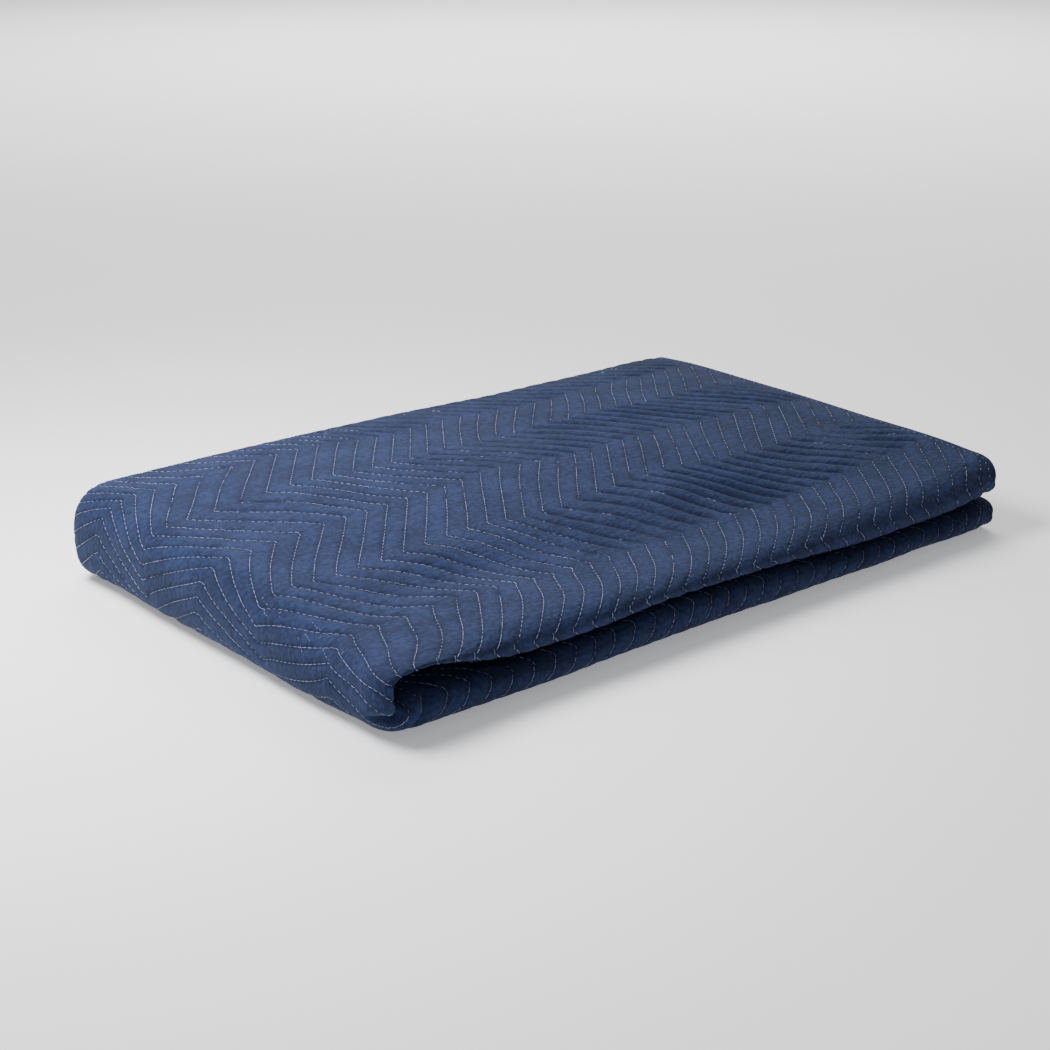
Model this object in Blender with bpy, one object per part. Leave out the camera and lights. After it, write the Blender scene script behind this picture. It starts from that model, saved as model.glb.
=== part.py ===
"""A quilted moving blanket, folded flat into a low packet.

The cloth is first folded lengthwise into a strip of four layers, whose outermost layer wraps
round the front edge. The strip is then folded once across, at the left end, so the packet
holds eight layers: an upper and a lower run of the strip, with a slot between their rounded
front folds and a smooth rounded fold at the left end. The hemmed ends lie at the right.

Metres, +Z up. +X runs along the long side from the rounded end to the hemmed ends, +Y from
the front folds to the back. The origin is the middle of the box round the packet, on the
surface that it lies on.
"""
import bisect
import math

import bmesh
import bpy
from mathutils import Vector

# Overall size of the folded packet
LENGTH = 0.860
WIDTH = 0.548

# Quilting: zig-zag seams that cross the strip and repeat along it
SEAM_PITCH = 0.0254
ZIG_SHIFT = 0.0762
ZIG_HALF_PERIOD = 0.0965
ZIG_FIRST_ROW = 0.0945
SEAM_DEPTH = 0.0026
ZIG_FADE = 0.110
ROUND_TOLERANCE = 0.0010

# Layers across the thickness of the strip, as shares of that thickness
LAYER_COUNT = 4
LAYER_GAP = 0.030
LAYER = (1.0 - (LAYER_COUNT - 1) * LAYER_GAP) / LAYER_COUNT
LAYER_STEP = LAYER + LAYER_GAP
STRIP_THICKNESS = 0.040
THINNEST_STRIP = 0.012

# Rounded folds of the strip's section
FRONT_REACH_TOP = 0.034
FRONT_REACH_SLOT = 0.022
FRONT_NOSE = 0.42
FRONT_POINTS = 7
FRONT_CLEAR = 0.008
LIP = 0.055
BACK_REACH = 0.018
BACK_POINTS = 5

# Hidden layers: the wrap's inside, the inner fold and the hems, as distances from the front
# or from the back edge, with rounding as shares of the strip's thickness
WRAP_INSIDE = 0.0125
WRAP_LOWER = 0.020
WRAP_UPPER = 0.022
WRAP_ROUNDING = 0.03
INNER_FOLD = 0.021
INNER_FOLD_MIDDLE = 0.47
INNER_FOLD_LOWER = 0.032
INNER_FOLD_UPPER = 0.034
INNER_ROUNDING = 0.02
INNER_LAYER_FRONT = 0.045
BACK_CREASE = 0.014
HEM_SETBACK = 0.012
HEM_STAGGER = 0.006
HEM_ROUND = 0.004
HIDDEN_FROM_FRONT = (0.110, 0.190, 0.300, 0.420)
HIDDEN_FROM_LEFT = (0.780, 0.690, 0.610, 0.520, 0.440, 0.350, 0.260, 0.170, 0.130, 0.090)

# The fold across, at the left end
BEND = 0.054
BEND_POWER_ABOVE = 0.76
BEND_POWER_BELOW = 0.62
LOOP_POWER = 0.62
BEND_SWEEP = 0.168
LOOP_DEPTH = 0.0030
LOOP_HALF = 0.0016
MOUTH_DEPTH = 0.041
MOUTH_WIDTH = 0.085
BEND_STATIONS = 12

# The soft edge at the hemmed ends
END_DROP = 0.0065
END_ROUND = 0.013
END_STATION = 0.004
SHORTEST_STEP = 0.006

# Corners of the packet, seen from above
CORNER_REACH = 0.100
CORNER_BACK_LEFT = 0.013
CORNER_FRONT_LEFT = 0.004
CORNER_FRONT_RIGHT = 0.009
CORNER_BACK_RIGHT = 0.004
CORNER_WIDTH = 0.026

# Slot between the upper and the lower front fold
SLOT_INNER_HALF = 0.0006
SLOT_FADE = 0.075
SLOT_SETTLE = 0.150
SLOT_SHARE_INSIDE = 0.49

# Height of the top above the surface, by distance from the left end (columns)
# and from the front (first value of each row)
TOP_FROM_LEFT = (0.054, 0.160, 0.300, 0.450, 0.620, 0.780, 0.860)
TOP_ROWS = (
    # from_front, heights at the distances above
    (0.034, (0.070, 0.070, 0.069, 0.068, 0.070, 0.076, 0.088)),
    (0.095, (0.072, 0.074, 0.073, 0.070, 0.075, 0.081, 0.093)),
    (0.190, (0.083, 0.086, 0.091, 0.092, 0.096, 0.093, 0.095)),
    (0.285, (0.093, 0.098, 0.102, 0.106, 0.105, 0.104, 0.098)),
    (0.380, (0.100, 0.106, 0.108, 0.107, 0.108, 0.107, 0.103)),
    (0.475, (0.102, 0.106, 0.106, 0.105, 0.104, 0.105, 0.105)),
    (0.534, (0.100, 0.102, 0.102, 0.101, 0.099, 0.099, 0.100)),
)

# The slot at the front: distance from the left end, height of its middle, half its opening
SLOT_ROWS = (
    # from_left, height, half_opening
    (0.054, 0.0465, 0.0105),
    (0.087, 0.0430, 0.0075),
    (0.120, 0.0390, 0.0060),
    (0.160, 0.0355, 0.0045),
    (0.200, 0.0352, 0.0038),
    (0.260, 0.0375, 0.0034),
    (0.350, 0.0415, 0.0030),
    (0.440, 0.0405, 0.0026),
    (0.520, 0.0375, 0.0026),
    (0.610, 0.0335, 0.0024),
    (0.690, 0.0315, 0.0024),
    (0.780, 0.0330, 0.0026),
    (0.860, 0.0380, 0.0036),
)

CLOTH_COLOUR = (0.045, 0.075, 0.170, 1.0)
CLOTH_ROUGHNESS = 0.93
SHARP_ANGLE = math.radians(40.0)
FLAT_TOLERANCE = 1e-7


def smooth_step(low, high, value):
    """0 below low, 1 above high, and a soft ramp between."""
    share = min(max((value - low) / (high - low), 0.0), 1.0)
    return share * share * (3.0 - 2.0 * share)


def curve_through(places, values, at):
    """A smooth curve through the values, read at one place."""
    last = len(places) - 1
    at = min(max(at, places[0]), places[last])
    i = min(max(bisect.bisect_right(places, at) - 1, 0), last - 1)
    span = places[i + 1] - places[i]

    def slope(k):
        before = max(k - 1, 0)
        after = min(k + 1, last)
        return (values[after] - values[before]) / (places[after] - places[before])

    t = (at - places[i]) / span
    h00 = 2 * t ** 3 - 3 * t ** 2 + 1
    h10 = t ** 3 - 2 * t ** 2 + t
    h01 = -2 * t ** 3 + 3 * t ** 2
    h11 = t ** 3 - t ** 2
    ends = h00 * values[i] + h01 * values[i + 1]
    return ends + span * (h10 * slope(i) + h11 * slope(i + 1))


def top_height(from_left, from_front):
    """Height of the packet's top above the surface, with the soft edge at the hemmed ends."""
    fronts = [row[0] for row in TOP_ROWS]
    heights = [curve_through(TOP_FROM_LEFT, row[1], from_left) for row in TOP_ROWS]
    height = curve_through(fronts, heights, from_front)
    into_round = min(max((from_left - (LENGTH - END_ROUND)) / END_ROUND, 0.0), 1.0)
    return height - END_DROP * (1.0 - math.sqrt(1.0 - into_round ** 2))


def slot_height(from_left, from_front):
    """Height of the middle of the slot, which settles to half the packet away from the front."""
    lefts = [row[0] for row in SLOT_ROWS]
    at_front = curve_through(lefts, [row[1] for row in SLOT_ROWS], from_left)
    inside = SLOT_SHARE_INSIDE * top_height(min(from_left, LENGTH - END_ROUND), from_front)
    return at_front + (inside - at_front) * smooth_step(0.0, SLOT_SETTLE, from_front)


def slot_half(from_left, from_front):
    """Half the opening between the two runs: wide at the front, and widest at the left."""
    lefts = [row[0] for row in SLOT_ROWS]
    at_front = curve_through(lefts, [row[2] for row in SLOT_ROWS], from_left)
    half = SLOT_INNER_HALF + (at_front - SLOT_INNER_HALF) * (1.0 - smooth_step(0.0, SLOT_FADE, from_front))
    loop = LOOP_HALF * (1.0 - smooth_step(BEND, 2.0 * BEND, from_left))
    return max(half, loop)


def squared_round(angle, power):
    """Cosine and sine of an angle, drawn out toward the corners of the box round the circle."""
    c = math.cos(angle)
    s = math.sin(angle)
    return abs(c) ** power, math.copysign(abs(s) ** power, s)


def corner_round(from_front, at_front, at_back):
    """How far the end of the packet is drawn in near its front and back corners."""
    front = min(max(1.0 - from_front / CORNER_WIDTH, 0.0), 1.0)
    back = min(max(1.0 - (WIDTH - from_front) / CORNER_WIDTH, 0.0), 1.0)
    return at_front * (1.0 - math.sqrt(1.0 - front ** 2)) + at_back * (1.0 - math.sqrt(1.0 - back ** 2))


def rounded_corners(from_left, from_front):
    """Distance from the left end once the packet's corners are rounded."""
    left = corner_round(from_front, CORNER_FRONT_LEFT, CORNER_BACK_LEFT)
    right = corner_round(from_front, CORNER_FRONT_RIGHT, CORNER_BACK_RIGHT)
    near_left = 1.0 - smooth_step(0.0, CORNER_REACH, from_left)
    near_right = smooth_step(LENGTH - CORNER_REACH, LENGTH, from_left)
    return from_left + left * near_left - right * near_right


RUN = LENGTH - BEND
TRAVEL = 2.0 * RUN + BEND_SWEEP


def place(travel, from_front, depth):
    """Point of the packet, by travel along the strip from its upper hemmed end, distance
    from the front, and depth: 0 on the slot side of the strip and 1 on its outer side."""
    if travel <= RUN:
        from_left = LENGTH - travel
        middle = slot_height(from_left, from_front)
        inner = (from_left, middle + slot_half(from_left, from_front))
        outer = (from_left, top_height(from_left, from_front))
    elif travel >= RUN + BEND_SWEEP:
        from_left = BEND + travel - RUN - BEND_SWEEP
        middle = slot_height(from_left, from_front)
        inner = (from_left, middle - slot_half(from_left, from_front))
        outer = (from_left, 0.0)
    else:
        angle = math.pi * (0.5 - (travel - RUN) / BEND_SWEEP)
        across, up = squared_round(angle, BEND_POWER_ABOVE if angle > 0.0 else BEND_POWER_BELOW)
        loop_across, loop_up = squared_round(angle, LOOP_POWER)
        middle = slot_height(BEND, from_front)
        half = slot_half(BEND, from_front)
        open_front = 1.0 - smooth_step(0.0, MOUTH_WIDTH, from_front)
        loop = LOOP_DEPTH + (MOUTH_DEPTH - LOOP_DEPTH) * open_front
        rise = top_height(BEND, from_front) - middle if up > 0.0 else middle
        inner = (BEND - loop * loop_across, middle + half * loop_up)
        outer = (BEND - BEND * across, middle + rise * up)
    x = inner[0] + (outer[0] - inner[0]) * depth
    z = inner[1] + (outer[1] - inner[1]) * depth
    x = rounded_corners(x, from_front)
    return (x - LENGTH / 2.0, from_front - WIDTH / 2.0, max(z, 0.0))


def thickness(travel, from_front):
    """Thickness of the strip at a place, slot side to outer side."""
    a = place(travel, from_front, 0.0)
    b = place(travel, from_front, 1.0)
    return math.dist(a, b)


def zig(across):
    """Sideways shift of a seam, by distance across the cloth from the front: legs of even slope."""
    phase = (across - ZIG_FIRST_ROW) / ZIG_HALF_PERIOD
    wave = abs((phase + 1.0) % 2.0 - 1.0)
    return (wave - 0.5) * ZIG_SHIFT


def zig_fade(travel):
    """The seams run straight along the hemmed ends."""
    return smooth_step(0.0, ZIG_FADE, travel) * smooth_step(0.0, 2.0 * ZIG_FADE, TRAVEL - travel)


def back_fold():
    """The fold that joins the two outermost layers at the back, from its underside to its top:
    (from_front, depth, outward across, outward up)."""
    middle = 1.0 - LAYER - LAYER_GAP / 2.0
    half = LAYER + LAYER_GAP / 2.0
    points = []
    for k in range(BACK_POINTS):
        angle = math.radians(-90.0 + 180.0 * k / (BACK_POINTS - 1))
        c = math.cos(angle)
        s = math.sin(angle)
        points.append((WIDTH - BACK_REACH * (1.0 - c), middle + half * s, c, s))
    return points


def front_fold():
    """The outermost layer's wrap round the front edge, from the outer side to the slot side."""
    points = []
    for k in range(FRONT_POINTS):
        angle = math.radians(90.0 - 180.0 * k / (FRONT_POINTS - 1))
        reach = FRONT_REACH_TOP if angle > 0.0 else FRONT_REACH_SLOT
        half = 1.0 - FRONT_NOSE if angle > 0.0 else FRONT_NOSE
        c = math.cos(angle)
        s = math.sin(angle)
        points.append((reach * (1.0 - c), FRONT_NOSE + half * s, -c, s))
    return points


def shown_skin():
    """The part of the section that shows, from under the back fold over the top to the slot:
    (from_front, depth, outward across, outward up, distance across the cloth)."""
    back = back_fold()
    top = []
    row = ZIG_FIRST_ROW - ZIG_HALF_PERIOD / 2.0
    while row < WIDTH - BACK_REACH - ZIG_HALF_PERIOD / 8.0:
        if row > FRONT_REACH_TOP + FRONT_CLEAR:
            top.append((row, 1.0, 0.0, 1.0))
        row += ZIG_HALF_PERIOD / 2.0
    top.reverse()
    slot_side = [(LIP, 0.0, 0.0, -1.0)]
    points = back + top + front_fold() + slot_side

    def step(a, b):
        return math.hypot(a[0] - b[0], (a[1] - b[1]) * STRIP_THICKNESS)

    first_flat = len(back)
    across = [0.0] * len(points)
    across[first_flat] = points[first_flat][0]
    for k in range(first_flat + 1, len(points)):
        across[k] = across[k - 1] - step(points[k], points[k - 1])
    for k in range(first_flat - 1, -1, -1):
        across[k] = across[k + 1] + step(points[k], points[k + 1])
    return [p + (a,) for p, a in zip(points, across)]


def hidden_skin():
    """The rest of the section, from the slot side back round the inner layers to the start of
    the part that shows: (from_front, depth)."""
    back_edge = WIDTH - HEM_SETBACK
    under = 1.0 - LAYER
    points = []
    # outermost layer along the slot, and its hem at the back
    points += [(v, 0.0) for v in HIDDEN_FROM_FRONT]
    points += [(back_edge - HEM_STAGGER, 0.0), (back_edge - HEM_STAGGER + HEM_ROUND, LAYER / 2.0)]
    points += [(back_edge - HEM_STAGGER, LAYER)]
    points += [(v, LAYER) for v in reversed(HIDDEN_FROM_FRONT)]
    # inside of the wrap round the front
    points += [(LIP, LAYER), (WRAP_LOWER, LAYER + WRAP_ROUNDING), (WRAP_INSIDE, FRONT_NOSE)]
    points += [(WRAP_UPPER, under - WRAP_ROUNDING), (LIP, under)]
    points += [(v, under) for v in HIDDEN_FROM_FRONT]
    # crease inside the back fold
    points += [(WIDTH - BACK_CREASE, 1.0 - LAYER - LAYER_GAP / 2.0)]
    # next layer forward, round the inner fold, and back to its hem
    points += [(v, under - LAYER_GAP) for v in reversed(HIDDEN_FROM_FRONT)]
    points += [(LIP, under - LAYER_GAP), (INNER_FOLD_UPPER, under - LAYER_GAP - INNER_ROUNDING)]
    points += [(INNER_FOLD, INNER_FOLD_MIDDLE), (INNER_FOLD_LOWER, LAYER_STEP + INNER_ROUNDING)]
    points += [(LIP, LAYER_STEP)]
    points += [(v, LAYER_STEP) for v in HIDDEN_FROM_FRONT]
    points += [(back_edge, LAYER_STEP), (back_edge + HEM_ROUND, LAYER_STEP + LAYER / 2.0)]
    points += [(back_edge, LAYER_STEP + LAYER)]
    points += [(v, LAYER_STEP + LAYER) for v in reversed(HIDDEN_FROM_FRONT)]
    points += [(INNER_LAYER_FRONT, LAYER_STEP + LAYER + LAYER_GAP / 2.0)]
    points += [(v, 2.0 * LAYER_STEP) for v in HIDDEN_FROM_FRONT]
    return points


def seam_stations():
    """Travel and seam share of each line of points on the cloth that shows: the share is 1 on
    a seam, 0 on the crest between two seams, and 0 along the hemmed ends."""
    stations = [(0.0, 0.0), (END_STATION, 0.0)]
    half = SEAM_PITCH / 2.0
    count = int(TRAVEL / half)
    for k in range(1, count):
        stations.append((k * half, float(k % 2)))
    if TRAVEL - stations[-1][0] < SHORTEST_STEP:
        stations.pop()
    stations.append((TRAVEL, 0.0))
    return stations


def hidden_stations():
    """Travel of each line of points on the hidden layers: few along the runs, more at the bend."""
    lefts = (LENGTH - END_ROUND,) + HIDDEN_FROM_LEFT
    upper = [LENGTH - left for left in lefts]
    bend = [RUN + BEND_SWEEP * k / BEND_STATIONS for k in range(BEND_STATIONS + 1)]
    lower = [TRAVEL - travel for travel in reversed(upper)]
    return [0.0] + upper + bend + lower + [TRAVEL]


# Where the seams leave the cloth flat: on the floor, from this share of the bend on and for
# skin that faces down more than this, and on the slot side
FLOOR_SHARE = 0.75
UNDERSIDE_SLOPE_LEAST = 0.1
UNDERSIDE_SLOPE_MOST = 0.6
SLOT_SIDE_DEPTH = 0.01


def seam_relief(travel, point, share):
    """A point of the skin that shows, drawn in where a seam holds the layers together."""
    from_front, depth, out_across, out_up, _ = point
    on_floor = smooth_step(RUN + FLOOR_SHARE * BEND_SWEEP, RUN + BEND_SWEEP, travel)
    sunk = SEAM_DEPTH * share
    if out_up > 0.0:
        sunk *= 1.0 - on_floor * smooth_step(UNDERSIDE_SLOPE_LEAST, UNDERSIDE_SLOPE_MOST, out_up)
    if depth < SLOT_SIDE_DEPTH:
        sunk = 0.0
    body = max(thickness(travel, from_front), THINNEST_STRIP)
    return from_front - out_across * sunk, depth - out_up * sunk / body


def shown_points(bm):
    """Lines of vertices on the skin that shows, one list for each place round the section,
    and with each vertex its travel, distance from the front and depth."""
    skin = shown_skin()
    lines = []
    spots = {}
    for k, point in enumerate(skin):
        joined_to_hidden = k in (0, len(skin) - 1)
        line = []
        for travel, share in seam_stations():
            shift = 0.0 if joined_to_hidden else zig(point[4]) * zig_fade(travel)
            at = min(max(travel + shift, 0.0), TRAVEL)
            from_front, depth = seam_relief(at, point, share)
            vert = bm.verts.new(place(at, from_front, depth))
            spots[vert] = (at, from_front, depth)
            line.append(vert)
        lines.append(line)
    return lines, spots


def halfway(bm, spots, first, second):
    """A vertex on the cloth between two others, where a straight edge would cut a round corner."""
    spot = [(a + b) / 2.0 for a, b in zip(spots[first], spots[second])]
    on_cloth = Vector(place(*spot))
    if (on_cloth - (first.co + second.co) / 2.0).length < ROUND_TOLERANCE:
        return None
    return bm.verts.new(on_cloth)


def shown_strip(bm, spots, first, second):
    """Faces between two lines of the skin that shows, with a middle line round the bend."""
    middle = [halfway(bm, spots, a, b) for a, b in zip(first[1:-1], second[1:-1])]
    middle = [None] + middle + [None]
    for k in range(len(first) - 1):
        if middle[k] and middle[k + 1]:
            bm.faces.new((first[k], first[k + 1], middle[k + 1], middle[k]))
            bm.faces.new((middle[k], middle[k + 1], second[k + 1], second[k]))
        else:
            corners = (first[k], first[k + 1], middle[k + 1], second[k + 1], second[k], middle[k])
            bm.faces.new([vert for vert in corners if vert])


def hidden_points(bm):
    """Lines of vertices on the hidden layers."""
    stations = hidden_stations()
    return [[bm.verts.new(place(at, v, depth)) for at in stations] for v, depth in hidden_skin()]


def even_strip(bm, first, second):
    """Faces between two lines with the same number of vertices."""
    for k in range(len(first) - 1):
        bm.faces.new((first[k], first[k + 1], second[k + 1], second[k]))


def joining_strip(bm, first, first_travel, second, second_travel):
    """Triangles between two lines whose vertices lie at different travels."""
    i = 0
    j = 0
    while i < len(first) - 1 or j < len(second) - 1:
        next_first = first_travel[i + 1] if i < len(first) - 1 else math.inf
        next_second = second_travel[j + 1] if j < len(second) - 1 else math.inf
        if next_first <= next_second:
            bm.faces.new((first[i], first[i + 1], second[j]))
            i += 1
        else:
            bm.faces.new((first[i], second[j + 1], second[j]))
            j += 1


def dissolve_flat_underside(bm):
    """One flat face where the packet lies on the surface."""
    flat = [f for f in bm.faces if all(abs(v.co.z) < FLAT_TOLERANCE for v in f.verts)]
    bmesh.ops.dissolve_faces(bm, faces=flat)
    bm.verts.ensure_lookup_table()
    straight = []
    for vert in bm.verts:
        if len(vert.link_edges) == 2 and abs(vert.co.z) < FLAT_TOLERANCE:
            straight.append(vert)
    bmesh.ops.dissolve_verts(bm, verts=straight)


def blanket_mesh():
    """The whole folded cloth as one closed solid."""
    bm = bmesh.new()
    shown, spots = shown_points(bm)
    hidden = hidden_points(bm)
    for first, second in zip(shown, shown[1:]):
        shown_strip(bm, spots, first, second)
    for first, second in zip(hidden, hidden[1:]):
        even_strip(bm, first, second)
    seam_travel = [travel for travel, _ in seam_stations()]
    joining_strip(bm, shown[-1], seam_travel, hidden[0], hidden_stations())
    joining_strip(bm, hidden[-1], hidden_stations(), shown[0], seam_travel)
    lines = shown + hidden
    bm.faces.new([line[0] for line in reversed(lines)])
    bm.faces.new([line[-1] for line in lines])
    bmesh.ops.recalc_face_normals(bm, faces=bm.faces)
    dissolve_flat_underside(bm)
    bmesh.ops.triangulate(bm, faces=bm.faces)
    mesh = bpy.data.meshes.new("blanket")
    bm.to_mesh(mesh)
    bm.free()
    return mesh


def cloth_material():
    """Navy-blue woven cover of the quilt."""
    material = bpy.data.materials.new("quilted_navy_cloth")
    material.use_nodes = True
    shader = material.node_tree.nodes["Principled BSDF"]
    shader.inputs["Base Color"].default_value = CLOTH_COLOUR
    shader.inputs["Roughness"].default_value = CLOTH_ROUGHNESS
    shader.inputs["Metallic"].default_value = 0.0
    return material


def clear_scene():
    for item in list(bpy.data.objects):
        bpy.data.objects.remove(item, do_unlink=True)


def main():
    clear_scene()
    mesh = blanket_mesh()
    mesh.materials.append(cloth_material())
    mesh.shade_smooth()
    mesh.set_sharp_from_angle(angle=SHARP_ANGLE)
    blanket = bpy.data.objects.new("blanket", mesh)
    bpy.context.scene.collection.objects.link(blanket)


main()
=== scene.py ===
# %% [markdown]
# A folded moving blanket.
#
# Movers wrap furniture in a quilted blanket: two woven covers with filling between them,
# sewn through in zig-zag seams an inch apart. Here it lies folded, first lengthwise into a
# strip of four layers, then once across. The lesson dresses the plain solid of that folded
# cloth: it makes the puffed channels between the seams, the thread, the soft hems and the
# worn navy finish.

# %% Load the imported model
import math

import bmesh
import bpy
import numpy as np
from mathutils import Matrix, Vector


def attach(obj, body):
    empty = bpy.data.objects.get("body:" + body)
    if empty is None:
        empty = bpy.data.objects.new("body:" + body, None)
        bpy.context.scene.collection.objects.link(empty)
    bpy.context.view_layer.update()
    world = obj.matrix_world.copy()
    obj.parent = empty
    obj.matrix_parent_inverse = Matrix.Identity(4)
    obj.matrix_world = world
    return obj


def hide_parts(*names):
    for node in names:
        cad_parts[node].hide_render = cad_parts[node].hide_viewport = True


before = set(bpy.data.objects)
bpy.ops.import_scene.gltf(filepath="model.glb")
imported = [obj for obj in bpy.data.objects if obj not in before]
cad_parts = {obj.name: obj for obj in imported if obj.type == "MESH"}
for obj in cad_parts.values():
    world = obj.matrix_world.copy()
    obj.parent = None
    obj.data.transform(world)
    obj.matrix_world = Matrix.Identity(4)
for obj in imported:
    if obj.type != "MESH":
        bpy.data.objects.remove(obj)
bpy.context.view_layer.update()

print("solids in the frame:", sorted(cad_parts))

# %% [markdown]
# The camera first.
#
# The photograph was taken from a little above the front left corner. Its camera was worked out
# from the outline of the packet and from corners of the quilting, so it is given here as a
# place, a pitch below level, a turn from straight ahead and a focal length in picture points.

# %% Camera
PHOTO_SIDE_PX = 1050
FOCAL_PX = 1910.86
SENSOR_MM = 36.0
CAMERA_PLACE = (-1.29448, -1.46145, 0.71746)
CAMERA_PITCH = math.radians(19.350)
CAMERA_TURN = math.radians(40.748)


def add_camera():
    """A camera that looks down at the packet from the front left."""
    lens = bpy.data.cameras.new("photo_camera")
    lens.sensor_width = SENSOR_MM
    lens.lens = FOCAL_PX / PHOTO_SIDE_PX * SENSOR_MM
    camera = bpy.data.objects.new("photo_camera", lens)
    bpy.context.scene.collection.objects.link(camera)
    level = math.cos(CAMERA_PITCH)
    to_right = math.sin(CAMERA_TURN)
    to_back = math.cos(CAMERA_TURN)
    ahead = Vector((to_right * level, to_back * level, -math.sin(CAMERA_PITCH)))
    right = Vector((to_back, -to_right, 0.0))
    turn = Matrix((right, right.cross(ahead), -ahead)).transposed().to_4x4()
    turn.translation = Vector(CAMERA_PLACE)
    camera.matrix_world = turn
    return camera


bpy.context.scene.camera = add_camera()
print("lens in mm:", round(bpy.context.scene.camera.data.lens, 2))

# %% [markdown]
# Smooth curves and soft noise.
#
# Cloth has no straight lines, so heights are read from smooth curves through a few measured
# values. The noise is a grid of random hills with a fixed seed, so that each run of the
# script gives the same blanket.

# %% Curve and noise helpers
NOISE_CELLS = 64


def smooth_step(low, high, value):
    """0 below low, 1 above high, and a soft ramp between."""
    share = np.clip((value - low) / (high - low), 0.0, 1.0)
    return share * share * (3.0 - 2.0 * share)


def read_row(table, index):
    """Row number index of a table, or for each point its own row where rows hold many points."""
    if table.ndim == 1:
        return table[index]
    return np.take_along_axis(table, index[None], 0)[0]


def curve_through(places, values, at):
    """A smooth curve through the values, read at many places. Each value may be an array that
    holds one number for each place that is read."""
    places = np.asarray(places, float)
    values = np.asarray(values, float)
    last = len(places) - 1
    before = np.maximum(np.arange(last + 1) - 1, 0)
    after = np.minimum(np.arange(last + 1) + 1, last)
    spans = places[after] - places[before]
    slopes = (values[after] - values[before]) / (spans if values.ndim == 1 else spans[:, None])
    at = np.clip(at, places[0], places[last])
    i = np.clip(np.searchsorted(places, at, side="right") - 1, 0, last - 1)
    span = places[i + 1] - places[i]
    t = (at - places[i]) / span
    start = (2 * t ** 3 - 3 * t ** 2 + 1) * read_row(values, i)
    end = (3 * t ** 2 - 2 * t ** 3) * read_row(values, i + 1)
    leaving = (t ** 3 - 2 * t ** 2 + t) * read_row(slopes, i)
    arriving = (t ** 3 - t ** 2) * read_row(slopes, i + 1)
    return start + end + span * (leaving + arriving)


def soft_noise(u, v, seed):
    """Smooth random hills from -1 to 1, about one for each unit of u and v."""
    hills = np.random.default_rng(seed).uniform(-1.0, 1.0, (NOISE_CELLS, NOISE_CELLS))
    u, v = np.broadcast_arrays(u, v)
    iu = np.floor(u).astype(int)
    iv = np.floor(v).astype(int)
    fu = smooth_step(0.0, 1.0, u - iu)
    fv = smooth_step(0.0, 1.0, v - iv)

    def hill(a, b):
        return hills[(iu + a) % NOISE_CELLS, (iv + b) % NOISE_CELLS]

    near = hill(0, 0) * (1.0 - fu) + hill(1, 0) * fu
    far = hill(0, 1) * (1.0 - fu) + hill(1, 1) * fu
    return near * (1.0 - fv) + far * fv


print("noise in the middle of a hill:", round(float(soft_noise(3.5, 7.5, 1)), 3))

# %% [markdown]
# The folded strip.
#
# The strip of four layers could be modelled flat and folded by a cloth simulation, but the
# real fold is known well enough to be written down. A point of the cloth is named by three
# numbers: its travel along the strip from the upper hemmed end, its distance from the front,
# and its depth through the strip, 0 on the slot side and 1 on the outer side. One function
# turns those into a place, round the fold at the left end and back along the lower run.

# %% Sizes of the fold, in metres
LENGTH = 0.860
WIDTH = 0.548
BEND = 0.054
BEND_SWEEP = 0.168
BEND_POWER_ABOVE = 0.76
BEND_POWER_BELOW = 0.62
BEND_HALF_HEIGHT = 0.045
BEND_SAMPLES = 721
LOOP_POWER = 0.62
BEND_POWER_FRONT = 0.62
LOOP_POWER_FRONT = 0.48
LOOP_DEPTH = 0.0030
LOOP_HALF = 0.0016
MOUTH_DEPTH = 0.041
MOUTH_WIDTH = 0.085
RUN = LENGTH - BEND
TRAVEL = 2.0 * RUN + BEND_SWEEP
END_DROP = 0.0065
END_ROUND = 0.013
SLOT_INNER_HALF = 0.0006
SLOT_FADE = 0.075
SLOT_SETTLE = 0.150
SLOT_SHARE_INSIDE = 0.49

# Height of the top: by distance from the left end, and from the front
TOP_FROM_LEFT = (0.054, 0.160, 0.300, 0.450, 0.620, 0.780, 0.860)
TOP_ROWS = (
    # from_front, heights at the distances above
    (0.034, (0.070, 0.070, 0.069, 0.068, 0.070, 0.076, 0.088)),
    (0.095, (0.072, 0.074, 0.073, 0.070, 0.075, 0.081, 0.093)),
    (0.190, (0.083, 0.086, 0.091, 0.092, 0.096, 0.093, 0.095)),
    (0.285, (0.093, 0.098, 0.102, 0.106, 0.105, 0.104, 0.098)),
    (0.380, (0.100, 0.106, 0.108, 0.107, 0.108, 0.106, 0.100)),
    (0.475, (0.102, 0.106, 0.106, 0.105, 0.104, 0.104, 0.102)),
    (0.534, (0.100, 0.102, 0.102, 0.101, 0.099, 0.099, 0.100)),
)

# The slot at the front, between the upper and the lower run
SLOT_ROWS = (
    # from_left, height of its middle, half its opening
    (0.054, 0.0488, 0.0138),
    (0.087, 0.0445, 0.0095),
    (0.120, 0.0390, 0.0060),
    (0.160, 0.0355, 0.0045),
    (0.200, 0.0352, 0.0038),
    (0.260, 0.0375, 0.0034),
    (0.350, 0.0415, 0.0030),
    (0.440, 0.0405, 0.0026),
    (0.520, 0.0375, 0.0026),
    (0.610, 0.0335, 0.0024),
    (0.690, 0.0315, 0.0024),
    (0.780, 0.0330, 0.0026),
    (0.860, 0.0380, 0.0036),
)

# Upright creases in the front of the fold across, below the mouth of the slot
CREASE_REACH = 0.045
CREASES = (
    # travel on the slot side, travel on the outer side, half its width, depth
    (0.936, 0.914, 0.0065, 0.0180),
    (0.974, 0.952, 0.0055, 0.0050),
)

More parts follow.
